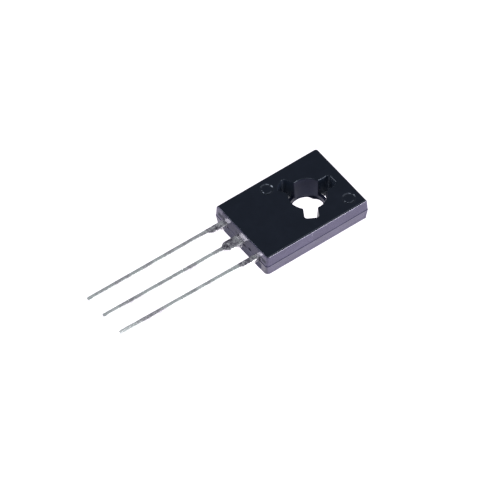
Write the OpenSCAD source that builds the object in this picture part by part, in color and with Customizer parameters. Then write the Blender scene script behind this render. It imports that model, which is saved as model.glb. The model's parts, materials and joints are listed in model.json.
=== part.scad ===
// Three-lead moulded power transistor, darlington type, flat-tab package.
// Millimetres. The origin is on the screw hole's axis, in the plane of the metal back.
// +X points from the leads towards the hole end, +Z out of the moulded front face.

/* [Moulded body] */
// Overall length at the parting line, along X
body_l = 11.06; // [10.8:0.02:11.4]
// Overall width at the parting line, along Y
body_w = 7.56; // [7.4:0.02:7.8]
// Thickness from the metal back to the front face
body_t = 2.45; // [2.4:0.05:2.7]
// Height of the parting line above the back
parting_z = 1.2; // [1.1:0.05:1.25]
// Draft of the outer walls above the parting line, in degrees
upper_draft = 5; // [4:0.5:7]
// Draft of the outer walls below the parting line, in degrees
lower_draft = 7; // [4:0.5:7]
// Corner radius of the outline at the parting line
corner_r = 0.3; // [0.25:0.05:0.6]
// Distance from the hole's axis to the hole end, at the parting line
hole_to_end = 3.78; // [3.7:0.02:4.0]

/* [Screw hole] */
// Diameter of the bore at the metal back
bore_d = 3.3; // [3.2:0.05:3.4]
// Diameter of the moulded hole where it meets the plate's top plane
neck_d = 3.1; // [3.0:0.05:3.15]
// Diameter of the moulded hole at the front face
mouth_d = 3.55; // [3.4:0.05:3.7]
// Width of each of the three notches, at the front face
notch_w = 1.3; // [1.1:0.05:1.4]
// Reach of each notch from the hole's axis, at the front face
notch_reach = 2.76; // [2.6:0.02:2.8]
// Corner radius of the notches at the front face
notch_r = 0.28; // [0.25:0.01:0.35]
// How far each notch wall leans in from the front face to the plate
notch_lean = 0.1; // [0:0.02:0.16]

/* [Ejector marks] */
// Diameter of the two round ejector marks
mark_d = 1.2; // [1.0:0.1:1.3]
// Depth of the ejector marks
mark_depth = 0.06; // [0.03:0.01:0.12]
// Distance of each mark from the hole's axis along X and along Y
mark_off = 2.57; // [2.5:0.01:2.6]

/* [Metal plate] */
// Thickness of the plate and of the leads
metal_t = 0.5; // [0.45:0.05:0.55]
// Diameter of the hole in the plate, lined by the moulding
plate_hole_d = 3.9; // [3.8:0.05:4.0]
// Width of the plate where it shows at the back
plate_w = 5.4; // [5.2:0.1:5.6]
// Corner radius of the plate where it shows at the back
plate_r = 0.4; // [0.2:0.1:0.8]
// How far the plate's upper half stands out past its lower half all round
plate_step = 0.3; // [0.2:0.05:0.35]
// Distance from the hole's axis to the plate's free end, at the back
plate_end = 2.75; // [2.7:0.05:2.85]
// Distance from the hole's axis to the plate's chip end, at the back
plate_tail = 4.3; // [4.2:0.05:4.4]

/* [Leads] */
// Distance between neighbouring lead centre lines
pitch = 2.39; // [2.3:0.01:2.45]
// Width of the long part of each lead
lead_w = 0.5; // [0.45:0.05:0.6]
// Distance from the hole's axis to the lead tips
lead_reach = 22.1; // [20:0.1:24]
// Height of the leads' lower face above the metal back
lead_z = 1.2; // [1.2:0.05:1.25]
// Width of the centre lead's shoulder
centre_shoulder_w = 1.1; // [1.0:0.05:1.2]
// Distance from the hole's axis to the end of the centre shoulder
centre_shoulder_x = 8.85; // [8.6:0.05:9.2]
// Distance from the hole's axis to the end of the outer shoulders
outer_shoulder_x = 9.15; // [8.9:0.05:9.4]
// Length over which a shoulder tapers down to the long part
shoulder_taper = 0.35; // [0.2:0.05:0.5]
// Height of the sharpened end of each tip
tip_len = 0.15; // [0.1:0.05:0.25]

/* [Chip and wires] */
// Side of the square silicon chip
die_side = 1.8; // [1.6:0.1:1.9]
// Thickness of the silicon chip
die_t = 0.25; // [0.2:0.05:0.3]
// Thickness of the solder under the chip
solder_t = 0.05; // [0.04:0.01:0.08]
// Distance from the hole's axis to the chip's centre
die_x = 3.3; // [3.25:0.05:3.4]
// Diameter of the emitter's bond wire
emitter_wire_d = 0.25; // [0.2:0.01:0.3]
// Diameter of the base's bond wire
base_wire_d = 0.15; // [0.12:0.01:0.2]

/* [Hidden] */
$fn = 48;
e = 0.01;
half_w = body_w / 2;
lead_end_x = hole_to_end - body_l;
upper_h = body_t - parting_z;
// Each inset is kept to a whole hundredth of a millimetre.
upper_in = round(100 * upper_h * tan(upper_draft)) / 100;
lower_in = round(100 * parting_z * tan(lower_draft)) / 100;
body_mid_x = (hole_to_end + lead_end_x) / 2;
lead_top = lead_z + metal_t;
notch_depth = body_t - metal_t;
half_t = metal_t / 2;
neck_w = centre_shoulder_w;
bend_x = plate_tail + 0.45;
rise = lead_z;
miter = half_t * tan(22.5);
post_in = 5.45;
post_out = 6.75;
post_y0 = 1.45;
post_y1 = 3.05;
die_top = metal_t + solder_t + die_t;
emitter_pad = [-die_x + 0.05, 0.4];
emitter_post = [-5.95, 2.15];
base_pad = [-die_x - 0.1, -0.6];
base_post = [-5.95, -2.15];

// Block with rounded vertical corners whose four walls lean in by d over its height h.
module drafted_block(l, w, r, h, d) {
    rotate([90, 0, 0])
        translate([0, 0, -(w / 2 - r)])
            linear_extrude(height = w - 2 * r)
                polygon([[-l / 2, 0], [l / 2, 0], [l / 2 - d, h], [-l / 2 + d, h]]);
    rotate([90, 0, 90])
        translate([0, 0, -(l / 2 - r)])
            linear_extrude(height = l - 2 * r)
                polygon([[-w / 2, 0], [w / 2, 0], [w / 2 - d, h], [-w / 2 + d, h]]);
    for (sx = [-1, 1], sy = [-1, 1])
        translate([sx * (l / 2 - r), sy * (w / 2 - r), 0])
            cylinder(h = h, r1 = r, r2 = r - d);
}

// One notch beside the screw hole, open to the front face and down to the plate's plane.
// The cut starts a little above the front face, on the same leaning walls.
module notch(a) {
    over = 0.2;
    more = notch_lean * over / notch_depth;
    rotate([0, 0, a])
        translate([notch_reach / 2, 0, body_t + over])
            mirror([0, 0, 1])
                drafted_block(notch_reach + 2 * more, notch_w + 2 * more, notch_r + more,
                              notch_depth + over, notch_lean + more);
}

// The whole screw hole: straight at the back, flaring to the front, with three notches.
module screw_hole() {
    flare = (mouth_d - neck_d) / (body_t - metal_t);
    translate([0, 0, -1]) cylinder(h = metal_t + 1, d = bore_d);
    translate([0, 0, metal_t - e])
        cylinder(h = body_t - metal_t + 1 + e,
                 d1 = neck_d - flare * e, d2 = mouth_d + flare);
    for (i = [0:2]) notch(i * 120);
}

// Outer form of the moulding before anything is taken out of it.
module moulded_block() {
    translate([body_mid_x, 0, parting_z]) {
        drafted_block(body_l, body_w, corner_r, upper_h, upper_in);
        mirror([0, 0, 1])
            drafted_block(body_l, body_w, corner_r, parting_z, lower_in);
    }
}

// Plate with a coined step: its upper half is wider than the half that shows at the back.
// The moulding lines its round hole.
module plate() {
    difference() {
        for (s = [0, 1])
            translate([(plate_end - plate_tail) / 2, 0, s * half_t])
                drafted_block(plate_tail + plate_end + 2 * s * plate_step,
                              plate_w + 2 * s * plate_step, plate_r + s * plate_step,
                              half_t, 0);
        translate([0, 0, -1]) cylinder(h = 2 + metal_t, d = plate_hole_d);
    }
}

// Down-set neck between the plate and the centre lead, bent twice at 45 degrees.
module down_set() {
    x1 = -bend_x;
    x2 = -bend_x - rise;
    rotate([90, 0, 0])
        translate([0, 0, -neck_w / 2])
            linear_extrude(height = neck_w)
                polygon([[-plate_tail + e, 0], [x1 - miter, 0], [x2 - miter, lead_z],
                         [lead_end_x, lead_z], [lead_end_x, lead_top],
                         [x2 + miter, lead_top], [x1 + miter, metal_t],
                         [-plate_tail + e, metal_t]]);
}

// Long thin part of a lead, from x0 out to the tip, which is cut to a blunt point.
module lead_bar(y, x0) {
    translate([0, y, lead_z])
        linear_extrude(height = metal_t)
            polygon([[x0, -lead_w / 2], [x0, lead_w / 2],
                     [-lead_reach + tip_len, lead_w / 2], [-lead_reach, lead_w / 5],
                     [-lead_reach, -lead_w / 5], [-lead_reach + tip_len, -lead_w / 2]]);
}

// Outer lead drawn for the +Y side: bond post in the moulding, shoulder, long part.
// up and down are how far the shoulder stands out past the long part on each side.
module outer_lead(up, down) {
    translate([-post_out, post_y0, lead_z])
        cube([post_out - post_in, post_y1 - post_y0, metal_t]);
    translate([0, pitch, lead_z])
        linear_extrude(height = metal_t)
            polygon([[-post_out + e, lead_w / 2 + up], [-post_out + e, -lead_w / 2 - down],
                     [-outer_shoulder_x + shoulder_taper, -lead_w / 2 - down],
                     [-outer_shoulder_x, -lead_w / 2], [-outer_shoulder_x, lead_w / 2],
                     [-outer_shoulder_x + shoulder_taper, lead_w / 2 + up]]);
    lead_bar(pitch, -outer_shoulder_x + e);
}

// Bond wire as one arc of radius r between two points at different heights,
// with a flattened foot on each, trimmed flush with the two metal faces.
module bond_wire(a, za, b, zb, d, r) {
    len = norm(b - a);
    dir = atan2(b[1] - a[1], b[0] - a[0]);
    rise_w = zb - za;
    c = norm([len, rise_w]);
    sag = sqrt(r * r - c * c / 4);
    cx = len / 2 + sag * rise_w / c;
    cz = rise_w / 2 - sag * len / c;
    a0 = atan2(-cz, -cx);
    a1 = atan2(rise_w - cz, len - cx);
    translate([a[0], a[1], 0]) rotate([0, 0, dir])
        difference() {
            union() {
                translate([cx, 0, za + cz]) rotate([90, 0, 0])
                    rotate([0, 0, a1]) rotate_extrude(angle = a0 - a1)
                        translate([r, 0]) circle(d = d);
                translate([-0.25, 0, za + 0.02]) rotate([0, 90, 0]) cylinder(h = 0.35, d = d);
                translate([len - 0.1, 0, zb + 0.02]) rotate([0, 90, 0]) cylinder(h = 0.35, d = d);
            }
            translate([-1, -1, za - 1]) cube([len / 2 + 1, 2, 1]);
            translate([len / 2, -1, zb - 1]) cube([len / 2 + 1, 2, 1]);
        }
}

module epoxy_body() {
    color([0.07, 0.08, 0.10])
        difference() {
            moulded_block();
            screw_hole();
            for (s = [-1, 1])
                translate([s * mark_off, -s * mark_off, body_t - mark_depth])
                    cylinder(h = 1, d = mark_d);
            plate();
            down_set();
            emitter_form();
            base_form();
            solder_form();
            die_form();
            emitter_wire_form();
            base_wire_form();
        }
}

module emitter_form() { outer_lead(0, 0.2); }

module base_form() { mirror([0, 1, 0]) outer_lead(0.1, 0); }

module solder_form() {
    translate([-die_x - die_side / 2, -die_side / 2, metal_t])
        cube([die_side, die_side, solder_t]);
}

module die_form() {
    translate([-die_x - die_side / 2, -die_side / 2, metal_t + solder_t])
        cube([die_side, die_side, die_t]);
}

module emitter_wire_form() {
    bond_wire(emitter_pad, die_top, emitter_post, lead_top, emitter_wire_d, 2.2);
}

module base_wire_form() {
    bond_wire(base_pad, die_top, base_post, lead_top, base_wire_d, 2.1);
}

module collector_frame() {
    color([0.72, 0.71, 0.69]) {
        plate();
        down_set();
        translate([0, 0, lead_z])
            linear_extrude(height = metal_t)
                polygon([[lead_end_x + e, centre_shoulder_w / 2],
                         [lead_end_x + e, -centre_shoulder_w / 2],
                         [-centre_shoulder_x, -centre_shoulder_w / 2],
                         [-centre_shoulder_x - shoulder_taper, -lead_w / 2],
                         [-centre_shoulder_x - shoulder_taper, lead_w / 2],
                         [-centre_shoulder_x, centre_shoulder_w / 2]]);
        lead_bar(0, -centre_shoulder_x - shoulder_taper + e);
    }
}

module emitter_lead() { color([0.72, 0.71, 0.69]) emitter_form(); }

module base_lead() { color([0.72, 0.71, 0.69]) base_form(); }

module darlington_die() { color([0.35, 0.36, 0.40]) die_form(); }

module die_attach_solder() { color([0.60, 0.60, 0.58]) solder_form(); }

module emitter_bond_wire() { color([0.80, 0.80, 0.82]) emitter_wire_form(); }

module base_bond_wire() { color([0.80, 0.80, 0.82]) base_wire_form(); }

epoxy_body();
collector_frame();
emitter_lead();
base_lead();
darlington_die();
die_attach_solder();
emitter_bond_wire();
base_bond_wire();
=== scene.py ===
import json
import math

import bmesh
import bpy
from mathutils import Matrix, Vector, geometry, noise

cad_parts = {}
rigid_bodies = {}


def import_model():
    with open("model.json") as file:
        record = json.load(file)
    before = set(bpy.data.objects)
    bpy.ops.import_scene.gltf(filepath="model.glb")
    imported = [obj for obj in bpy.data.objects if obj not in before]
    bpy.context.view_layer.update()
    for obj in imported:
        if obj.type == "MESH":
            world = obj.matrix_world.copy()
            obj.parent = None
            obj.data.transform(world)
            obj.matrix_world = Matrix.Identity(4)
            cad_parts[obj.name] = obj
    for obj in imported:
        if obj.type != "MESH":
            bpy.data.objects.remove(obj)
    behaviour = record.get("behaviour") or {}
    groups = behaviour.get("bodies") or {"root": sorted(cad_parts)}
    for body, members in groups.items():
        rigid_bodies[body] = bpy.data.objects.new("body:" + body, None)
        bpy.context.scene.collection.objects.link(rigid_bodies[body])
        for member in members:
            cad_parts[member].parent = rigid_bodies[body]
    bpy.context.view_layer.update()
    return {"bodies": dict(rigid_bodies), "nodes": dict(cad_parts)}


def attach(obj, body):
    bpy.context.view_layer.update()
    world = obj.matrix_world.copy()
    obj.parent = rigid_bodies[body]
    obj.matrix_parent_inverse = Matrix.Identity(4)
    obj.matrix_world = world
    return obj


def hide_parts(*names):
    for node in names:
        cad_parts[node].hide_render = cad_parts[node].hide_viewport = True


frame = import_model()
MM = 0.001
SCENE = bpy.context.scene
BODY = list(frame["bodies"])[0]

# ---------------------------------------------------------------- camera
RIGHT = Vector((0.80420, -0.59432, -0.01137)).normalized()
UP = Vector((0.46880, 0.62140, 0.62765))
UP = (UP - RIGHT * UP.dot(RIGHT)).normalized()
BACK = RIGHT.cross(UP)
DIST = 850.0
PX_PER_MM = 11.432
aim = Vector((-1.75, 0.0, 1.2)) - RIGHT * (41.78 / PX_PER_MM) - UP * (37.87 / PX_PER_MM)
cam_data = bpy.data.cameras.new("camera")
cam = bpy.data.objects.new("camera", cam_data)
SCENE.collection.objects.link(cam)
cam_data.sensor_fit = "HORIZONTAL"
cam_data.sensor_width = 36.0
cam_data.lens = 36.0 * PX_PER_MM * DIST / 500.0
cam_data.clip_start = 0.05
cam_data.clip_end = 30.0
m = Matrix((RIGHT, UP, BACK)).transposed().to_4x4()
m.translation = (aim + BACK * DIST) * MM
cam.matrix_world = m
SCENE.camera = cam

# ---------------------------------------------------------------- numbers, mm
BODY_T = 2.45
PART_Z = 1.2
HALF_L = 5.53
MID_X = 3.78 - HALF_L
HALF_W = 3.78
UP_SLOPE = 0.026
LOW_SLOPE = 0.13
CORNER_R = (0.33, 0.06, 0.30, 0.05)
TOP_EDGE = 0.185
BOTTOM_EDGE = 0.20
MOUTH_R = 1.775
NECK_R = 1.55
BORE_R = 1.65
PLATE_TOP = 0.5
TIP_X = -22.03


# ---------------------------------------------------------------- mesh helpers
def new_object(name, bm):
    bmesh.ops.recalc_face_normals(bm, faces=bm.faces)
    mesh = bpy.data.meshes.new(name)
    bm.to_mesh(mesh)
    bm.free()
    obj = bpy.data.objects.new(name, mesh)
    SCENE.collection.objects.link(obj)
    return obj


def loft_into(bm, loops, cap_start=True, cap_end=True):
    rows = [[bm.verts.new(Vector(p) * MM) for p in loop] for loop in loops]
    n = len(rows[0])
    for a, b in zip(rows, rows[1:]):
        for i in range(n):
            j = (i + 1) % n
            bm.faces.new((a[i], a[j], b[j], b[i]))
    if cap_start:
        bm.faces.new(list(reversed(rows[0])))
    if cap_end:
        bm.faces.new(rows[-1])
    return rows


def loft(name, loops):
    bm = bmesh.new()
    loft_into(bm, loops)
    return new_object(name, bm)


def boolean(target, cutter, how="DIFFERENCE", keep=False):
    mod = target.modifiers.new("cut", "BOOLEAN")
    mod.operation = how
    mod.object = cutter
    mod.solver = "EXACT"
    bpy.context.view_layer.update()
    dg = bpy.context.evaluated_depsgraph_get()
    mesh = bpy.data.meshes.new_from_object(target.evaluated_get(dg))
    target.modifiers.remove(mod)
    old = target.data
    target.data = mesh
    bpy.data.meshes.remove(old)
    if not keep:
        bpy.data.objects.remove(cutter)


def tidy(obj, merge=2e-8):
    bm = bmesh.new()
    bm.from_mesh(obj.data)
    bmesh.ops.remove_doubles(bm, verts=bm.verts, dist=merge)
    bmesh.ops.dissolve_degenerate(bm, edges=bm.edges, dist=merge)
    bmesh.ops.recalc_face_normals(bm, faces=bm.faces)
    bm.to_mesh(obj.data)
    bm.free()


def smooth(obj, angle=38.0):
    bm = bmesh.new()
    bm.from_mesh(obj.data)
    limit = math.radians(angle)
    for f in bm.faces:
        f.smooth = True
    for e in bm.edges:
        e.smooth = len(e.link_faces) == 2 and e.calc_face_angle(0.0) < limit
    bm.to_mesh(obj.data)
    bm.free()
    mod = obj.modifiers.new("normals", "WEIGHTED_NORMAL")
    mod.mode = "FACE_AREA"
    mod.weight = 90
    mod.keep_sharp = True


# ---------------------------------------------------------------- outlines
def rounded_rect(cx, a, b, r, z, nx=40, ny=28, nc=9):
    """Rounded rectangle, counter-clockwise. r is one radius, or one for each corner from (+X, +Y) round."""
    rs = r if isinstance(r, (list, tuple)) else (r,) * 4
    signs = ((1, 1), (-1, 1), (-1, -1), (1, -1))
    pts = []
    for side in range(4):
        r0, r1 = rs[side - 1], rs[side]
        x0, y0 = signs[side - 1]
        x1, y1 = signs[side]
        if side % 2 == 0:
            start, end = (cx + x0 * a, y0 * (b - r0)), (cx + x1 * a, y1 * (b - r1))
            n = ny
        else:
            start, end = (cx + x0 * (a - r0), y0 * b), (cx + x1 * (a - r1), y1 * b)
            n = nx
        for i in range(n):
            t = i / n
            pts.append((start[0] + (end[0] - start[0]) * t, start[1] + (end[1] - start[1]) * t, z))
        for i in range(nc):
            ang = math.pi / 2 * (side + i / nc)
            pts.append((cx + x1 * (a - r1) + r1 * math.cos(ang), y1 * (b - r1) + r1 * math.sin(ang), z))
    return pts


def notched_outline(R, h, reach, rc, rf, z, n_end=3, n_corner=7, n_side=4, n_fillet=6, n_arc=12):
    """Round hole of radius R with three notches of half-width h, closed, counter-clockwise."""
    half = []
    for i in range(n_end):
        half.append((reach, (h - rc) * i / n_end))
    for i in range(n_corner + 1):
        t = math.pi / 2 * i / n_corner
        half.append((reach - rc + rc * math.cos(t), h - rc + rc * math.sin(t)))
    cx = math.sqrt((R + rf) ** 2 - (h + rf) ** 2)
    cy = h + rf
    x0 = reach - rc
    for i in range(1, n_side):
        half.append((x0 + (cx - x0) * i / n_side, h))
    a0 = -math.pi / 2
    a1 = math.atan2(-cy, -cx)
    for i in range(n_fillet + 1):
        t = a0 + (a1 - a0) * i / n_fillet
        half.append((cx + rf * math.cos(t), cy + rf * math.sin(t)))
    t0 = math.atan2(cy, cx)
    for i in range(1, n_arc + 1):
        t = t0 + (math.pi / 3 - t0) * i / n_arc
        half.append((R * math.cos(t), R * math.sin(t)))
    sector = half[1:]
    mirrored = [(x, -y) for x, y in reversed(half[1:-1])]
    ring = mirrored + [half[0]] + sector
    pts = []
    for k in range(3):
        c, s = math.cos(k * 2 * math.pi / 3), math.sin(k * 2 * math.pi / 3)
        for x, y in ring:
            if k == 2:
                w = min(max((x - 1.0) / 0.7, 0.0), 1.0)
                x, y = x - 0.035 * w, y + 0.06 * w
            pts.append((x * c - y * s, x * s + y * c, z))
    return pts


def circle(r, z, n=96, cx=0.0, cy=0.0):
    return [(cx + r * math.cos(2 * math.pi * i / n), cy + r * math.sin(2 * math.pi * i / n), z) for i in range(n)]


# ---------------------------------------------------------------- moulded body
def ridge_size(x, y):
    """Height and stand-out of the flash along the parting line, larger at the lead end."""
    wob = noise.noise(Vector((x * 0.9, y * 0.9, 3.7)))
    fine = noise.noise(Vector((x * 4.0, y * 4.0, 9.1)))
    up = 0.075 + 0.02 * wob + 0.012 * fine
    out = 0.026 + 0.006 * wob + 0.004 * fine
    if x < -6.9:
        between = min(max((2.75 - abs(y)) / 0.2, 0.0), 1.0)
        up += 0.03 - 0.055 * between
        out += 0.008 - 0.024 * between
    return max(up, 0.03), max(out, 0.012)


def body_outer():
    loops = []

    def level(z, inset, ridge=None):
        rs = [max(c - inset * 0.8 + max(0.0, PART_Z - 0.2 - z) * 0.24, 0.04) for c in CORNER_R]
        rs[3] += 0.08 * max(0.0, z - PART_Z)
        rs[1] += 0.06 * max(0.0, z - PART_Z)
        pts = rounded_rect(MID_X, HALF_L - inset, HALF_W - inset, rs, z)
        out = []
        for x, y, zz in pts:
            up, stand = ridge_size(x, y)
            push = -stand
            dz = 0.0
            if ridge == "peak":
                push = 0.0
            elif ridge == "above":
                dz = up
            elif ridge == "below":
                dz = -0.4 * up
            r = rs[(0 if y > 0 else 3) if x > MID_X else (1 if y > 0 else 2)]
            cx = min(max(x, MID_X - HALF_L + inset + r), MID_X + HALF_L - inset - r)
            cy = min(max(y, -HALF_W + inset + r), HALF_W - inset - r)
            d = Vector((x - cx, y - cy))
            d = d.normalized() if d.length > 1e-9 else Vector((0, 0))
            lead_end = min(max((-d.x - 0.25) / 0.7, 0.0), 1.0)
            hole_end = min(max((d.x - 0.1) / 0.7, 0.0), 1.0)
            if z > 2.26:
                push += 0.7 * lead_end * max(0.0, inset - (BODY_T - TOP_EDGE - PART_Z) * UP_SLOPE)
            push += lead_end * (0.04 * max(0.0, PART_Z - z) - 0.066 * max(0.0, z - PART_Z))
            push += (0.07 * hole_end + 0.06 * max(0.0, d.y)) * max(0.0, PART_Z - z)
            wave = 0.004 * noise.noise(Vector((x * 0.55, y * 0.55, zz * 0.8 + 20.0)))
            if 0.0 < z < BODY_T:
                push += wave
            out.append((x + d.x * push, y + d.y * push, zz + dz))
        loops.append(out)

    n = 10
    base_in = PART_Z * LOW_SLOPE
    for i in range(n + 1):
        t = math.pi / 2 * i / n
        level(BOTTOM_EDGE * (1 - math.sin(t)), base_in - BOTTOM_EDGE * LOW_SLOPE + BOTTOM_EDGE * (1 - math.cos(math.pi / 2 - t)))
    for z in (0.35, 0.5, 0.7, 0.9, 1.03, 1.1):
        level(z, (PART_Z - z) * LOW_SLOPE)
    level(PART_Z - 0.008, 0.001, "below")
    level(PART_Z, 0.0, "peak")
    level(PART_Z + 0.006, 0.0005, "peak")
    level(PART_Z + 0.004, 0.003, "above")
    for z in (1.36, 1.5, 1.7, 1.9, 2.1, 2.24):
        level(z, (z - PART_Z) * UP_SLOPE)
    top_in = (BODY_T - TOP_EDGE - PART_Z) * UP_SLOPE
    for i in range(n + 1):
        t = math.pi / 2 * i / n
        level(BODY_T - TOP_EDGE + TOP_EDGE * math.sin(t), top_in + TOP_EDGE * (1 - math.cos(t)))
    loops[0] = [(x, y, 0.0) for x, y, z in reversed_bottom(loops[0])]
    loops[-1] = [(x, y, BODY_T) for x, y, z in loops[-1]]
    return loops


def reversed_bottom(loop):
    return loop


def hole_upper():
    """The lobed part of the screw hole, from just under the plate's plane to above the face."""
    loops = []
    top_h, top_reach, top_rc = 0.65, 2.76, 0.28
    lean = 0.1
    rf = 0.11
    edge = 0.07
    z0 = PLATE_TOP - 0.0015

    def level(z, grow):
        f = (BODY_T - z) / (BODY_T - PLATE_TOP)
        R = MOUTH_R - 0.035 + (NECK_R - MOUTH_R + 0.035) * f
        loops.append(
            notched_outline(
                R + grow, top_h - lean * f + grow, top_reach - lean * f + grow, top_rc - lean * f + grow, rf - grow * 0.9, z
            )
        )

    for z in (z0, 0.52, 0.8, 1.1, 1.4, 1.7, 2.0, 2.2, 2.34):
        level(z, 0.0)
    for i in range(6):
        t = math.pi / 2 * i / 5
        level(BODY_T - edge + edge * math.sin(t), edge * (1 - math.cos(t)))
    level(BODY_T + 0.02, edge + 0.0006)
    level(BODY_T + 0.3, edge + 0.0012)
    return loops


def mark_cutter(cx, cy):
    """Ejector mark: a round recess with a sloping rim, a groove at its foot and a raised disc inside it."""
    r = 0.6
    t = BODY_T
    prof = [(r + 0.085, t + 0.2), (r + 0.07, t + 0.012), (r + 0.055, t + 0.001), (r + 0.035, t - 0.006), (r + 0.01, t - 0.018),
            (r - 0.02, t - 0.036), (r - 0.045, t - 0.053), (r - 0.07, t - 0.066), (r - 0.095, t - 0.071), (r - 0.12, t - 0.068),
            (r - 0.15, t - 0.052), (r - 0.185, t - 0.032), (r - 0.22, t - 0.024), (r - 0.33, t - 0.03), (0.12, t - 0.034), (0.04, t - 0.034)]
    loops = []
    for i, (rad, z) in enumerate(prof):
        ring = []
        for j in range(72):
            t = 2 * math.pi * j / 72
            u, v = math.cos(t), math.sin(t)
            k = 1.0 + 0.012 * noise.noise(Vector((u * 2 + cx, v * 2, 0.4)))
            dz = 0.0
            if i > 5:
                k += 0.07 * noise.noise(Vector((u * 2.6 + cx, v * 2.6, i * 0.12))) * (1.0 if i < 14 else 0.0)
                dz = 0.012 * noise.noise(Vector((u * rad * 7 + cx, v * rad * 7, 2.0)))
            ring.append((cx + rad * k * u, cy + rad * k * v, z + dz))
        loops.append(ring)
    return loops


body = loft("epoxy_body_visual", body_outer())
boolean(body, loft("cut_hole", hole_upper()))


def bore_loop(z, lip):
    """Bore outline with a scrap of flash left on its back edge between about 15 and 60 degrees."""
    pts = []
    for i in range(144):
        t = 2 * math.pi * i / 144
        d = math.degrees(t)
        bite = math.exp(-((d - 36.0) / 13.0) ** 2) * 0.165
        bite += 0.08 * math.exp(-((d - 117.0) / 8.0) ** 2) + 0.07 * math.exp(-((d - 355.0) / 7.0) ** 2)
        bite += 0.012 * (1 + noise.noise(Vector((math.cos(t) * 4, math.sin(t) * 4, 1.3))))
        r = BORE_R + 0.012 - lip * bite
        pts.append((r * math.cos(t), r * math.sin(t), z))
    return pts


boolean(body, loft("cut_bore", [bore_loop(-0.3, 1.0), bore_loop(0.03, 1.0), bore_loop(0.05, 0.9), bore_loop(0.065, 0.0), bore_loop(PLATE_TOP, 0.0)]))


def crevice(points, depth, x_face=-7.32):
    """Small dark crack in the lead-end wall: a ragged slot through the given (y, z) points, cut in along +X."""
    near, far = [], []
    for i, (y, z, w) in enumerate(points):
        j = 0.25 * w * noise.noise(Vector((y * 9, z * 9, i * 1.7)))
        near.append((x_face, y, z + w / 2 + j))
        far.append((x_face, y, z - w / 2 + j))
    ring = near + far[::-1]
    return loft("cut_crevice", [[(x + d, y, z) for x, y, z in ring] for d in (0.0, depth * 0.6, depth)])


CRACKS = (
    ([(2.0, 1.71, 0.03), (2.2, 1.73, 0.05), (2.4, 1.725, 0.06), (2.62, 1.72, 0.05), (2.74, 1.62, 0.05)], 0.35),
    ([(1.72, 1.14, 0.06), (1.84, 1.20, 0.20), (1.96, 1.24, 0.15)], 0.3),
    ([(0.12, 1.71, 0.03), (0.3, 1.73, 0.05), (0.48, 1.725, 0.06), (0.6, 1.66, 0.07)], 0.35),
    ([(-0.78, 1.10, 0.05), (-0.68, 1.18, 0.18), (-0.54, 1.24, 0.16)], 0.3),
    ([(-1.46, 1.34, 0.08), (-1.36, 1.36, 0.19), (-1.18, 1.38, 0.20), (-1.06, 1.38, 0.09)], 0.30),
    ([(-2.36, 1.71, 0.03), (-2.22, 1.73, 0.05), (-2.1, 1.72, 0.06)], 0.32),
    ([(-2.84, 1.46, 0.05), (-2.76, 1.5, 0.12), (-2.70, 1.46, 0.05)], 0.28),
    ([(-3.46, 1.17, 0.05), (-3.3, 1.18, 0.09), (-3.1, 1.2, 0.09), (-2.9, 1.28, 0.08), (-2.8, 1.36, 0.05)], 0.26),
)
for pts, depth in CRACKS:
    boolean(body, crevice(pts, depth))
for cx, cy in ((2.57, -2.57), (-2.57, 2.57)):
    boolean(body, loft("cut_mark", mark_cutter(cx, cy)))
# a small chip in the long wall on the -Y side
CHIP = (-2.28, 2.05)
chip = []
for y, r in ((-3.95, 0.20), (-3.76, 0.13), (-3.732, 0.11), (-3.70, 0.07), (-3.685, 0.02)):
    ring = []
    for i in range(14):
        t = 2 * math.pi * i / 14
        k = r * (1 + 0.35 * noise.noise(Vector((math.cos(t) * 1.7, math.sin(t) * 1.7, 6.0))))
        ring.append((CHIP[0] + 0.8 * k * math.cos(t), y, CHIP[1] + 1.1 * k * math.sin(t)))
    chip.append(ring)
boolean(body, loft("cut_chip", chip))
for name in ("collector_frame", "emitter_lead", "base_lead"):
    boolean(body, frame["nodes"][name], keep=True)
tidy(body)
smooth(body)


# ---------------------------------------------------------------- leads
def lead_section(y_lo, y_hi, z_lo, z_hi, r, nc=5, crown=0.0, roll=0.0, drop=0.0):
    """Across a lead, in the YZ plane: a rectangle with rounded corners and slightly crowned flats.
    roll and drop widen and deepen the rounding of the upper corner on the -Y side, where the punch rolled the edge over."""
    pts = []
    w, h = y_hi - y_lo, z_hi - z_lo
    r = min(r, w / 2 - 0.002, h / 2 - 0.002)
    rr = min(r + roll, w - r - 0.004)
    rh = min(r + drop, h - r - 0.004)
    corners = ((y_hi - r, z_hi - r, 0, r, r), (y_lo + rr, z_hi - rh, 1, rr, rh), (y_lo + r, z_lo + r, 2, r, r), (y_hi - r, z_lo + r, 3, r, r))
    for cy, cz, q, ra, rb in corners:
        n = nc + (5 if q == 1 else 0)
        for i in range(n + 1):
            t = math.pi / 2 * (q + i / n)
            pts.append((cy + ra * math.cos(t), cz + rb * math.sin(t)))
        if q == 0:
            for k in (0.75, 0.5, 0.25):
                pts.append((y_lo + rr + (y_hi - r - y_lo - rr) * k, z_hi + crown * (1 - abs(2 * k - 1))))
        elif q == 1:
            for k in (0.67, 0.33):
                pts.append((y_lo, z_lo + r + (z_hi - rh - z_lo - r) * k))
        elif q == 2:
            for k in (0.25, 0.5, 0.75):
                pts.append((y_lo + r + (w - 2 * r) * k, z_lo - crown * (1 - abs(2 * k - 1))))
        else:
            for k in (0.33, 0.67):
                pts.append((y_hi, z_lo + r + (h - 2 * r) * k))
    return pts


def interp(table, x):
    for (x0, v0), (x1, v1) in zip(table, table[1:]):
        if x >= x1:
            t = (x0 - x) / (x0 - x1) if x0 != x1 else 0.0
            t = min(max(t, 0.0), 1.0)
            return v0 + (v1 - v0) * t
    return table[-1][1]


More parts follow.
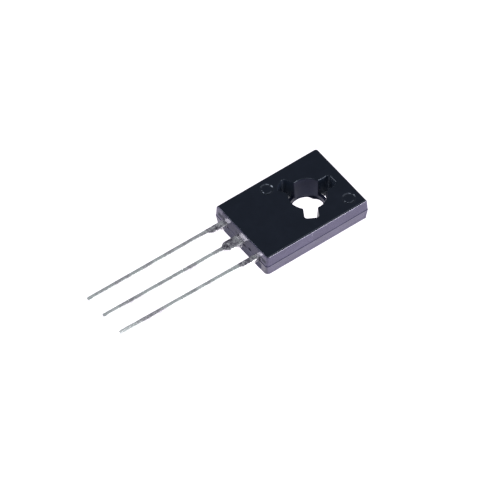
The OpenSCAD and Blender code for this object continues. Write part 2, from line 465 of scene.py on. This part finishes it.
def lead_loops(y0, far, near, stations, seed, lean_y=0.0, lean_z=0.0, twist_tip=0.0, rolled=0.29):
    """Loops across a lead from its inner end to its tip.
    far and near are tables of half-widths against x, x falling from the body to the tip.
    twist_tip turns the section towards -Y, in degrees, growing towards the tip, and rolled is
    the mean width of the rolled-over edge."""
    loops = []
    for x in stations:
        out = max(0.0, -7.4 - x)
        s = out / 14.7
        cy = y0 + lean_y * s ** 1.4 + 0.010 * noise.noise(Vector((x * 0.35, seed, 0.0))) * min(1.0, out)
        cz = lean_z * s ** 1.4 + 0.008 * noise.noise(Vector((x * 0.35, seed, 7.0))) * min(1.0, out)
        a = interp(far, x)
        b = interp(near, x)
        if -9.2 < x < -7.3:
            a += 0.012 * noise.noise(Vector((x * 5.0, seed, 1.0)))
            b += 0.012 * noise.noise(Vector((x * 5.0, seed, 2.0)))
        elif x < -9.2:
            a += 0.006 * noise.noise(Vector((x * 2.2, seed, 3.0)))
            b += 0.006 * noise.noise(Vector((x * 2.2, seed, 4.0)))
        z_lo, z_hi = 1.2 + cz, 1.7 + cz
        r = 0.045
        away = min(1.0, max(0.0, (-9.0 - x) / 1.5))
        roll = (rolled + 0.08 * noise.noise(Vector((x * 0.55, seed, 5.0)))) * away
        roll -= twist_tip * 0.02 * max(0.0, (-15.0 - x) / 7.0)
        roll = max(roll * min(1.0, (x - TIP_X) / 0.9 + 0.15), 0.0)
        drop = 0.05 * away
        twist = 3.2 * noise.noise(Vector((x * 0.5, seed, 8.0))) * away + twist_tip * max(0.0, (-14.0 - x) / 8.0) ** 1.3
        if x > -7.25:
            r = 0.03
            roll = drop = 0.0
        if x < TIP_X + 0.25:
            tip = max(0.0, min(1.0, (x - TIP_X) / 0.25))
            shrink = math.sqrt(max(0.0, 1 - (1 - tip) ** 2))
            a = a * (0.35 + 0.65 * shrink)
            b = b * (0.35 + 0.65 * shrink)
            z_lo += 0.10 * (1 - shrink)
            roll *= 0.2 + 0.8 * shrink
        sec = lead_section(cy - b, cy + a, z_lo, z_hi, r, crown=0.004 if x < -7.3 else 0.0, roll=roll, drop=drop)
        if x < -9.0:
            tc, ts = math.cos(math.radians(twist)), math.sin(math.radians(twist))
            zc = (z_lo + z_hi) / 2
            sec = [(cy + (y - cy) * tc - (z - zc) * ts, zc + (y - cy) * ts + (z - zc) * tc) for y, z in sec]
        loops.append([(x, y, z) for y, z in sec])
    return loops


def stations(x_start, extra=()):
    xs = set([x_start] + list(extra))
    x = -7.2
    while x > -9.6:
        xs.add(round(x, 3))
        x -= 0.06
    while x > TIP_X + 0.25:
        xs.add(round(x, 3))
        x -= 0.22
    for d in (0.25, 0.2, 0.15, 0.11, 0.08, 0.055, 0.035, 0.02, 0.008, 0.0):
        xs.add(round(TIP_X + d, 4))
    return sorted(xs, reverse=True)


POST = [-5.45, -6.75, -6.76]
far_1 = [(-5.4, 0.66), (-6.75, 0.66), (-6.76, 0.25), (-7.3, 0.25), (-9.0, 0.25), (-9.2, 0.25), (-23, 0.25)]
near_1 = [(-5.4, 0.94), (-6.75, 0.94), (-6.76, 0.45), (-8.75, 0.45), (-8.95, 0.40), (-9.15, 0.25), (-23, 0.25)]
far_3 = [(-5.4, 0.94), (-6.75, 0.94), (-6.76, 0.25), (-23, 0.25)]
near_3 = [(-5.4, 0.66), (-6.75, 0.66), (-6.76, 0.30), (-7.35, 0.30), (-8.5, 0.35), (-8.75, 0.35), (-8.95, 0.31), (-9.15, 0.25), (-23, 0.25)]
side_2 = [(-6.0, 0.55), (-8.7, 0.55), (-8.86, 0.52), (-9.0, 0.42), (-9.2, 0.25), (-23, 0.25)]

emitter = loft("emitter_lead_visual", lead_loops(2.39, far_1, near_1, stations(-5.45, POST), 11.0, 0.025, 0.12, 2.0))
base = loft("base_lead_visual", lead_loops(-2.39, far_3, near_3, stations(-5.45, POST), 23.0, 0.07, 0.26, 11.0, 0.25))


# ---------------------------------------------------------------- plate, neck and centre lead
def plate_mesh():
    loops = []
    mid = (2.75 - 4.3) / 2
    a, b, r = 3.525, 2.7, 0.4
    e = 0.05
    for z, g in ((0.0, -e), (0.015, -e * 0.4), (e, 0.0), (0.235, 0.0), (0.25, 0.015), (0.262, 0.285), (0.275, 0.3), (0.5 - 0.04, 0.3), (0.5 - 0.012, 0.288), (0.5, 0.26)):
        loops.append(rounded_rect(mid, a + g, b + g, r + max(g, -0.05), z, 20, 14, 8))
    return loft("plate_work", loops)


def plate_hole():
    prof = [(2.0, -0.2), (1.995, -0.001), (1.965, 0.012), (1.95, 0.05), (1.95, 0.42), (1.962, 0.47), (1.99, 0.493), (2.03, 0.5005), (2.035, 0.52), (2.035, 0.8)]
    return loft("plate_hole", [circle(r, z, 96) for r, z in prof])


def neck_loops():
    """Centre lead swept from the plate, up the down-set and out to the tip."""
    loops = []
    path = [(-4.05, 0.25), (-4.5, 0.25), (-4.66, 0.26), (-4.8, 0.33), (-4.95, 0.45), (-5.3, 0.8), (-5.6, 1.1), (-5.78, 1.28), (-5.92, 1.38), (-6.08, 1.44), (-6.3, 1.45), (-6.8, 1.45)]
    for i, (x, z) in enumerate(path):
        p0 = path[max(i - 1, 0)]
        p1 = path[min(i + 1, len(path) - 1)]
        d = Vector((p1[0] - p0[0], p1[1] - p0[1])).normalized()
        nrm = Vector((d.y, -d.x))
        if nrm.y < 0:
            nrm = -nrm
        sec = lead_section(-0.55, 0.55, -0.25, 0.25, 0.03)
        loops.append([(x + nrm.x * w, y, z + nrm.y * w) for y, w in sec])
    return loops + lead_loops(0.0, side_2, side_2, stations(-7.1), 37.0, 0.13, 0.12)


frame_piece = plate_mesh()
boolean(frame_piece, plate_hole())
boolean(frame_piece, loft("neck", neck_loops()), "UNION")
frame_piece.name = "collector_frame_visual"
for piece in (frame_piece, emitter, base):
    tidy(piece)
    smooth(piece, 40.0)


# ---------------------------------------------------------------- materials
def material(name):
    mat = bpy.data.materials.new(name)
    mat.use_nodes = True
    nt = mat.node_tree
    bsdf = next(n for n in nt.nodes if n.type == "BSDF_PRINCIPLED")
    coord = nt.nodes.new("ShaderNodeTexCoord")
    return mat, nt, bsdf, coord


def mapped(nt, coord, scale):
    mp = nt.nodes.new("ShaderNodeMapping")
    mp.inputs["Scale"].default_value = scale
    nt.links.new(coord.outputs["Object"], mp.inputs["Vector"])
    return mp.outputs["Vector"]


def noise_node(nt, vector, scale, detail=3.0, rough=0.5, distortion=0.0):
    n = nt.nodes.new("ShaderNodeTexNoise")
    n.inputs["Scale"].default_value = scale
    n.inputs["Detail"].default_value = detail
    n.inputs["Roughness"].default_value = rough
    n.inputs["Distortion"].default_value = distortion
    nt.links.new(vector, n.inputs["Vector"])
    return n.outputs["Fac"]


def ramp(nt, fac, stops):
    r = nt.nodes.new("ShaderNodeValToRGB")
    el = r.color_ramp.elements
    while len(el) < len(stops):
        el.new(0.5)
    for e, (pos, col) in zip(el, stops):
        e.position = pos
        e.color = col if len(col) == 4 else (*col, 1.0)
    nt.links.new(fac, r.inputs["Fac"])
    return r.outputs["Color"]


def rng(nt, fac, lo, hi, a=0.3, b=0.7):
    mr = nt.nodes.new("ShaderNodeMapRange")
    mr.inputs["From Min"].default_value = a
    mr.inputs["From Max"].default_value = b
    mr.inputs["To Min"].default_value = lo
    mr.inputs["To Max"].default_value = hi
    nt.links.new(fac, mr.inputs["Value"])
    return mr.outputs["Result"]


def math_node(nt, op, a, b):
    n = nt.nodes.new("ShaderNodeMath")
    n.operation = op
    for s, v in zip(n.inputs, (a, b)):
        if isinstance(v, (int, float)):
            s.default_value = v
        else:
            nt.links.new(v, s)
    return n.outputs[0]


def bump(nt, height, distance, strength, normal=None):
    b = nt.nodes.new("ShaderNodeBump")
    b.inputs["Distance"].default_value = distance
    b.inputs["Strength"].default_value = strength
    nt.links.new(height, b.inputs["Height"])
    if normal is not None:
        nt.links.new(normal, b.inputs["Normal"])
    return b.outputs["Normal"]


def epoxy_material(name, tones, rough_lo, rough_hi, ior, tint, grain_depth, wave_depth):
    mat, nt, bsdf, coord = material(name)
    vec = mapped(nt, coord, (1000, 1000, 1000))
    grain = noise_node(nt, vec, 20.0, 4.0, 0.62)
    cloud = noise_node(nt, vec, 0.9, 3.0, 0.55, 0.4)
    streak = noise_node(nt, mapped(nt, coord, (3200, 3200, 350)), 2.2, 3.0, 0.55)
    speck = noise_node(nt, vec, 55.0, 2.0, 0.5)
    tone = math_node(nt, "ADD", math_node(nt, "MULTIPLY", cloud, 0.5), math_node(nt, "MULTIPLY", speck, 0.5))
    nt.links.new(ramp(nt, tone, tones), bsdf.inputs["Base Color"])
    rough = math_node(nt, "ADD", rng(nt, cloud, rough_lo, rough_hi), rng(nt, grain, -0.03, 0.05))
    nt.links.new(rough, bsdf.inputs["Roughness"])
    bsdf.inputs["IOR"].default_value = ior
    bsdf.inputs["Specular Tint"].default_value = (*tint, 1.0)
    n1 = bump(nt, cloud, wave_depth, 0.25)
    n2 = bump(nt, streak, 0.000003, 0.5, n1)
    n3 = bump(nt, grain, grain_depth, 0.55, n2)
    nt.links.new(n3, bsdf.inputs["Normal"])
    return mat


def tin_material(name, stops, rough_lo, rough_hi, seg_share, bump_scale, fine_scale=13.0):
    """Dipped tin: long streaks along the lead, patches of oxide and a fine frosted grain."""
    mat, nt, bsdf, coord = material(name)
    vec = mapped(nt, coord, (1000, 1000, 1000))
    seg = noise_node(nt, mapped(nt, coord, (430, 260, 160)), 1.0, 2.0, 0.5)
    streak = noise_node(nt, mapped(nt, coord, (260, 3600, 3600)), 2.0, 4.0, 0.6)
    patch = noise_node(nt, vec, 2.6, 4.0, 0.62, 0.6)
    fine = noise_node(nt, vec, fine_scale, 4.0, 0.65)
    mix = math_node(nt, "ADD", math_node(nt, "MULTIPLY", patch, 0.6 * (1 - seg_share)), math_node(nt, "MULTIPLY", fine, 0.4 * (1 - seg_share)))
    mix = math_node(nt, "ADD", mix, math_node(nt, "MULTIPLY", seg, seg_share))
    nt.links.new(ramp(nt, mix, stops), bsdf.inputs["Base Color"])
    bsdf.inputs["Metallic"].default_value = 1.0
    rough = math_node(nt, "ADD", rng(nt, patch, rough_lo, rough_hi), rng(nt, fine, -0.05, 0.06))
    nt.links.new(rough, bsdf.inputs["Roughness"])
    n1 = bump(nt, patch, 0.00003 * bump_scale, 0.4)
    n2 = bump(nt, streak, 0.000006, 0.5, n1)
    n3 = bump(nt, fine, 0.000012 * bump_scale, 0.5, n2)
    nt.links.new(n3, bsdf.inputs["Normal"])
    return mat


def silicon_material():
    mat, nt, bsdf, coord = material("silicon_chip")
    vec = mapped(nt, coord, (1000, 1000, 1000))
    cell = nt.nodes.new("ShaderNodeTexVoronoi")
    cell.feature = "F1"
    cell.distance = "CHEBYCHEV"
    cell.inputs["Scale"].default_value = 5.0
    cell.inputs["Randomness"].default_value = 0.15
    nt.links.new(vec, cell.inputs["Vector"])
    col = ramp(nt, cell.outputs["Distance"], [(0.25, (0.62, 0.60, 0.57)), (0.45, (0.20, 0.21, 0.27))])
    nt.links.new(col, bsdf.inputs["Base Color"])
    bsdf.inputs["Metallic"].default_value = 0.7
    nt.links.new(rng(nt, noise_node(nt, vec, 6.0), 0.12, 0.25), bsdf.inputs["Roughness"])
    nt.links.new(bump(nt, cell.outputs["Distance"], 0.000002, 0.4), bsdf.inputs["Normal"])
    return mat


def soft_metal(name, colour, rough_lo, rough_hi, grain):
    mat, nt, bsdf, coord = material(name)
    vec = mapped(nt, coord, (1000, 1000, 1000))
    patch = noise_node(nt, vec, grain, 4.0, 0.6)
    lo = tuple(c * 0.75 for c in colour)
    col = ramp(nt, patch, [(0.3, lo), (0.7, colour)])
    nt.links.new(col, bsdf.inputs["Base Color"])
    bsdf.inputs["Metallic"].default_value = 1.0
    nt.links.new(rng(nt, patch, rough_lo, rough_hi), bsdf.inputs["Roughness"])
    nt.links.new(bump(nt, patch, 0.000005, 0.5), bsdf.inputs["Normal"])
    return mat


def dress(obj, mat):
    obj.data.materials.clear()
    obj.data.materials.append(mat)
    for p in obj.data.polygons:
        p.material_index = 0


def dress_node(name, mat):
    obj = frame["nodes"][name]
    if obj.material_slots:
        for s in obj.material_slots:
            s.material = mat
    else:
        obj.data.materials.append(mat)


# the front face came off polished steel, the outer walls and the back off spark-eroded steel; the walls' much paler
# base colour is partly that satin finish and partly painted light standing in for how brightly the walls are lit
EPOXY_FACE = epoxy_material("epoxy_polished", [(0.3, (0.0018, 0.0026, 0.0058)), (0.52, (0.0026, 0.0038, 0.0082)), (0.75, (0.0045, 0.0060, 0.0110))],
                            0.12, 0.20, 1.40, (0.78, 0.90, 1.0), 0.000002, 0.00002)
EPOXY_WALL = epoxy_material("epoxy_satin_and_painted_light", [(0.3, (0.036, 0.031, 0.064)), (0.5, (0.050, 0.044, 0.086)), (0.72, (0.075, 0.068, 0.118))],
                            0.22, 0.30, 1.52, (0.95, 0.93, 1.0), 0.0000022, 0.00002)
# painted shade: darker copy of the epoxy with a blue-tinted, weakened reflection for the bore walls, standing in for
# the shade inside the hole
EPOXY_HOLE_SHADED = epoxy_material("epoxy_bore_painted_shade", [(0.3, (0.0045, 0.0056, 0.0130)), (0.52, (0.0065, 0.0080, 0.0175)), (0.75, (0.0095, 0.0110, 0.0230))],
                            0.30, 0.42, 1.35, (0.52, 0.60, 1.0), 0.000004, 0.00001)
# painted shade: darker copy with a weakened, blue-tinted reflection for the notch walls, standing in for the shade
# down in the notches
EPOXY_NOTCH_SHADED = epoxy_material("epoxy_notch_painted_shade", [(0.3, (0.008, 0.012, 0.020)), (0.52, (0.012, 0.017, 0.027)), (0.75, (0.017, 0.024, 0.037))],
                             0.30, 0.42, 1.25, (0.60, 0.80, 1.0), 0.000004, 0.00001)
# painted shade: darker copy with weaker reflection for the upper lead-end wall, standing in for the shade that wall
# reflects
EPOXY_END = epoxy_material("epoxy_end_upper_painted_shade", [(0.3, (0.015, 0.014, 0.034)), (0.5, (0.023, 0.022, 0.049)), (0.72, (0.040, 0.037, 0.072))],
                           0.12, 0.18, 1.28, (0.88, 0.90, 1.0), 0.0000022, 0.00001)
# painted shade: rougher, darker copy with weak reflection for the lower lead-end wall, standing in for the shaded
# floor it reflects
EPOXY_END_LOW = epoxy_material("epoxy_end_lower_painted_shade", [(0.3, (0.016, 0.016, 0.040)), (0.5, (0.025, 0.025, 0.056)), (0.72, (0.042, 0.041, 0.082))],
                               0.34, 0.46, 1.16, (0.88, 0.90, 1.0), 0.000005, 0.00002)
# painted shade: darker copy for the lower lead-end wall beside the leads
EPOXY_END_SIDE = epoxy_material("epoxy_end_side_painted_shade", [(0.3, (0.027, 0.024, 0.048)), (0.5, (0.038, 0.034, 0.065)), (0.72, (0.057, 0.052, 0.090))],
                                0.24, 0.32, 1.42, (0.95, 0.93, 1.0), 0.000003, 0.00002)
# the chip's pale colour is partly the paler broken epoxy and partly a painted highlight
EPOXY_CHIP = epoxy_material("epoxy_chipped_and_painted_highlight", [(0.3, (0.10, 0.095, 0.13)), (0.5, (0.15, 0.145, 0.19)), (0.72, (0.21, 0.20, 0.25))],
                            0.40, 0.55, 1.45, (0.95, 0.93, 1.0), 0.000006, 0.00002)
TIN = tin_material("dipped_tin", [(0.36, (0.46, 0.42, 0.46)), (0.45, (0.68, 0.66, 0.66)), (0.53, (0.87, 0.91, 0.86)), (0.64, (0.97, 0.97, 0.94))], 0.16, 0.30, 0.55, 1.0)
# painted light: near-white copy for the leads' side and end faces and the tin seen in the notches, so they read lit to
# white
TIN_SIDE_LIT = tin_material("dipped_tin_side_painted_light", [(0.3, (0.90, 0.895, 0.89)), (0.5, (0.95, 0.945, 0.94)), (0.7, (0.97, 0.965, 0.96))], 0.16, 0.26, 0.4, 0.4)
TIN_ROOT = tin_material("dipped_tin_shoulder", [(0.40, (0.09, 0.08, 0.10)), (0.48, (0.36, 0.33, 0.37)), (0.55, (0.72, 0.70, 0.70)), (0.63, (0.98, 0.95, 0.93))], 0.14, 0.26, 0.05, 1.0, 9.0)
# painted light: evenly pale copy for the lead tops next to the wall, lighter than the mottled shoulder beyond
TIN_BAND_LIT = tin_material("dipped_tin_root_painted_light", [(0.38, (0.34, 0.33, 0.34)), (0.5, (0.62, 0.61, 0.61)), (0.62, (0.86, 0.85, 0.84))], 0.20, 0.28, 0.1, 0.35, 9.0)
# painted shade: darker copy for the lead faces turned to +Y
TIN_FAR_SHADED = tin_material("dipped_tin_far_side_painted_shade", [(0.36, (0.40, 0.38, 0.40)), (0.5, (0.58, 0.57, 0.57)), (0.64, (0.74, 0.73, 0.71))], 0.20, 0.34, 0.3, 1.0)
body.data.materials.clear()
for mat in (EPOXY_FACE, EPOXY_WALL, EPOXY_HOLE_SHADED, EPOXY_END, EPOXY_END_LOW, EPOXY_NOTCH_SHADED, EPOXY_END_SIDE, EPOXY_CHIP):
    body.data.materials.append(mat)
for p in body.data.polygons:
    c = p.center / MM
    n = p.normal
    in_hole = math.hypot(c.x, c.y) < 2.9 and c.z < BODY_T - 0.05
    near_mark = min(math.hypot(c.x - 2.57, c.y + 2.57), math.hypot(c.x + 2.57, c.y - 2.57)) < 0.8
    if near_mark or (c.z > BODY_T - 0.07 and n.z > 0.62) or (math.hypot(c.x, c.y) < 2.9 and c.z > BODY_T - 0.05):
        p.material_index = 0
    # partly painted highlight: the chip's faces take the pale copy
    elif -3.7265 < c.y < -3.6 and math.hypot(c.x - CHIP[0], c.z - CHIP[1]) < 0.14:
        p.material_index = 7
    # painted shade: bore walls take the shaded bore copy, notch walls the shaded notch copy
    elif in_hole:
        p.material_index = 5 if math.hypot(c.x, c.y) > 1.80 else 2
    # painted shade: the cracks and lead sockets in the lead-end wall take the bore's shaded copy
    elif -7.212 < c.x < -6.85 and 1.0 < c.z < 1.9 and abs(c.y) < 3.5:
        p.material_index = 2
    # painted shade: the upward slope of the parting-line ridge takes the upper lead-end shaded copy, drawing a dark
    # line along the parting line
    elif PART_Z + 0.004 < c.z < PART_Z + 0.13 and n.z > 0.12:
        p.material_index = 3
    # painted shade: the lower lead-end wall outside the leads takes this darker copy
    elif n.x < -0.6 and c.z < PART_Z and abs(c.y) > 2.8:
        p.material_index = 6
    # painted shade: the lead-end wall between the leads takes the upper and lower shaded copies
    elif n.x < -0.75 and abs(c.y) < 2.8:
        p.material_index = 3 if c.z > PART_Z else 4
    # painted light: all remaining faces, the outer walls and the back, take the paler satin copy
    else:
        p.material_index = 1
for piece in (frame_piece, emitter, base):
    piece.data.materials.clear()
    for mat in (TIN, TIN_SIDE_LIT, TIN_ROOT, TIN_FAR_SHADED, TIN_BAND_LIT):
        piece.data.materials.append(mat)
    for p in piece.data.polygons:
        x, n = p.center.x / MM, p.normal
        if n.z > 0.3:
            # painted highlight: tin tops seen in the notches take the near-white lit copy
            in_notch = math.hypot(x, p.center.y / MM) < 2.95
            # painted light: tops next to the wall, -7.74 < x < -7.0, take the pale band copy
            p.material_index = 1 if in_notch else 4 if -7.74 < x < -7.0 else 2 if -9.25 < x < -7.0 else 0
        # painted shade: faces turned to +Y take the darker far-side copy
        elif n.y > 0.3:
            p.material_index = 3
        # painted light: side and end faces take the near-white lit copy
        elif n.z > -0.6:
            p.material_index = 1
        else:
            p.material_index = 0
dress_node("darlington_die", silicon_material())
dress_node("die_attach_solder", soft_metal("die_solder", (0.55, 0.55, 0.53), 0.3, 0.5, 8.0))
wire_mat = soft_metal("bond_aluminium", (0.82, 0.82, 0.83), 0.18, 0.34, 12.0)
dress_node("emitter_bond_wire", wire_mat)
dress_node("base_bond_wire", wire_mat)

for piece, node, slot in (
    (body, "epoxy_body", "epoxy"),
    (frame_piece, "collector_frame", "tinned_copper"),
    (emitter, "emitter_lead", "tinned_copper"),
    (base, "base_lead", "tinned_copper"),
):
    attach(piece, BODY)
    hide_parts(node)

# ---------------------------------------------------------------- floor, world, lights
bm = bmesh.new()
bmesh.ops.create_grid(bm, x_segments=1, y_segments=1, size=4.0)
floor = new_object("studio_floor", bm)
floor.location = (0.0, 0.0, -0.00001)
fmat, fnt, fb, fcoord = material("floor_light_table")
fb.inputs["Base Color"].default_value = (0.10, 0.10, 0.10, 1.0)
fb.inputs["Roughness"].default_value = 0.9
fb.inputs["Specular IOR Level"].default_value = 0.0
fb.inputs["Emission Color"].default_value = (0.97, 0.93, 1.0, 1.0)
fb.inputs["Emission Strength"].default_value = 1.22
floor.data.materials.append(fmat)

world = bpy.data.worlds.new("studio")
world.use_nodes = True
bg = next(n for n in world.node_tree.nodes if n.type == "BACKGROUND")
bg.inputs["Color"].default_value = (0.94, 1.0, 1.08, 1.0)
bg.inputs["Strength"].default_value = 0.35
SCENE.world = world


def area(name, direction, distance, size, power, colour=(1, 1, 1)):
    data = bpy.data.lights.new(name, "AREA")
    data.shape = "DISK"
    data.size = size
    data.energy = power
    data.color = colour
    obj = bpy.data.objects.new(name, data)
    SCENE.collection.objects.link(obj)
    d = Vector(direction).normalized()
    obj.location = d * distance
    obj.rotation_mode = "QUATERNION"
    obj.rotation_quaternion = d.to_track_quat("Z", "Y")
    return obj


BLUE = (0.95, 0.93, 1.0)


def radiance(size, value):
    """Power of a round area light whose surface has this radiance."""
    return value * math.pi * math.pi * (size / 2) ** 2


for name, direction, size, value in (
    ("softbox_near", (0.38, -0.31, 0.86), 0.62, 1.5),
    ("softbox_left", (-0.48, 0.47, 0.74), 0.22, 16.0),
    ("softbox_over", (-0.34, -0.26, 0.90), 0.30, 5.5),
    ("low_near", (0.366, -0.928, 0.10), 0.19, 40.0),
    ("low_lead", (-0.87, 0.46, 0.16), 0.18, 3.0),
):
    area(name, direction, 0.60, size, radiance(size, value), BLUE).visible_camera = False

SCENE.view_settings.view_transform = "Standard"
SCENE.view_settings.look = "None"
SCENE.view_settings.exposure = 0.0
SCENE.view_settings.gamma = 1.0
